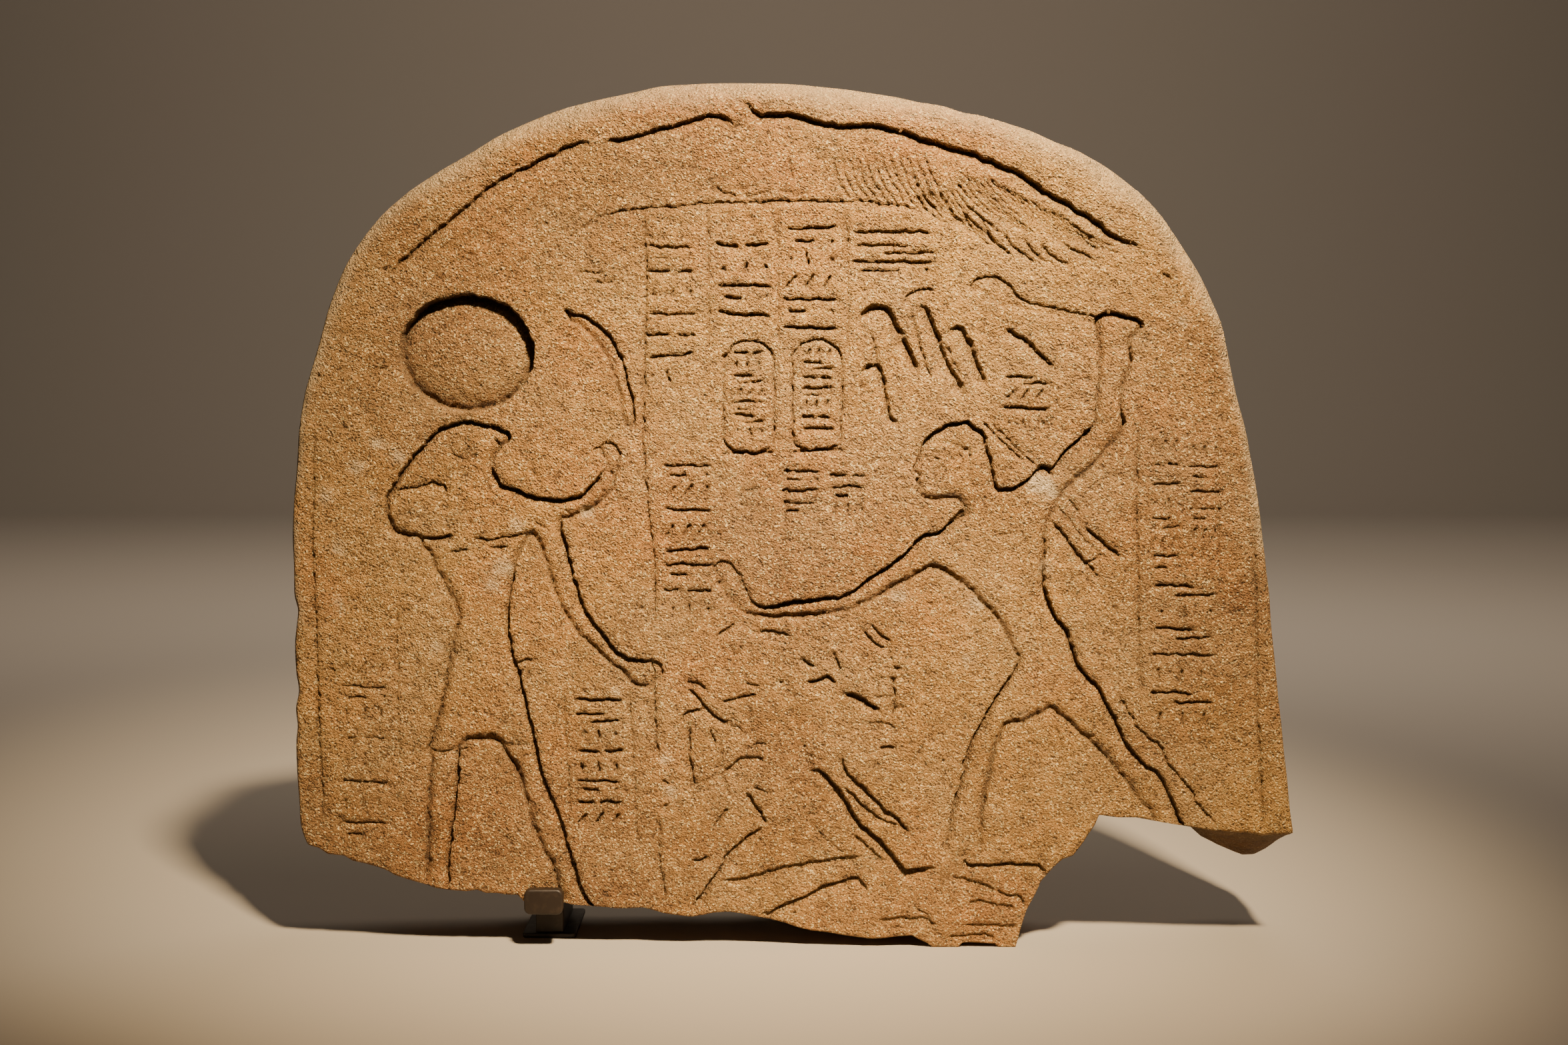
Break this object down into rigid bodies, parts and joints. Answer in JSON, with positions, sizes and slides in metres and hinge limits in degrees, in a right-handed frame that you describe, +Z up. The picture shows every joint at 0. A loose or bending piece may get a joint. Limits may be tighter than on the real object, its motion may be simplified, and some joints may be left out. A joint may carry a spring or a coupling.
{
  "type": "carved stone stele",
  "caption": "Round-topped stone stele carved in sunk relief with a falcon-headed god facing a smiting king, broken along its foot and propped upright on a dark steel bracket.",
  "frame": {"origin": "on the ground, under the middle of the bounding box", "axes": "+Z up; +X to the viewer's right across the carved face; +Y from the carved face (at -Y) to the plain back"},
  "size_m": [1.0654, 0.174, 0.92],
  "materials": {
    "brown_stone": "matt weathered brown sandstone with pale grains, chips and a worn rim",
    "dark_steel": "satin black-brown painted steel"
  },
  "bodies": {
    "root": {"stele": "brown_stone", "support_bracket": "dark_steel"}
  },
  "joints": []
}
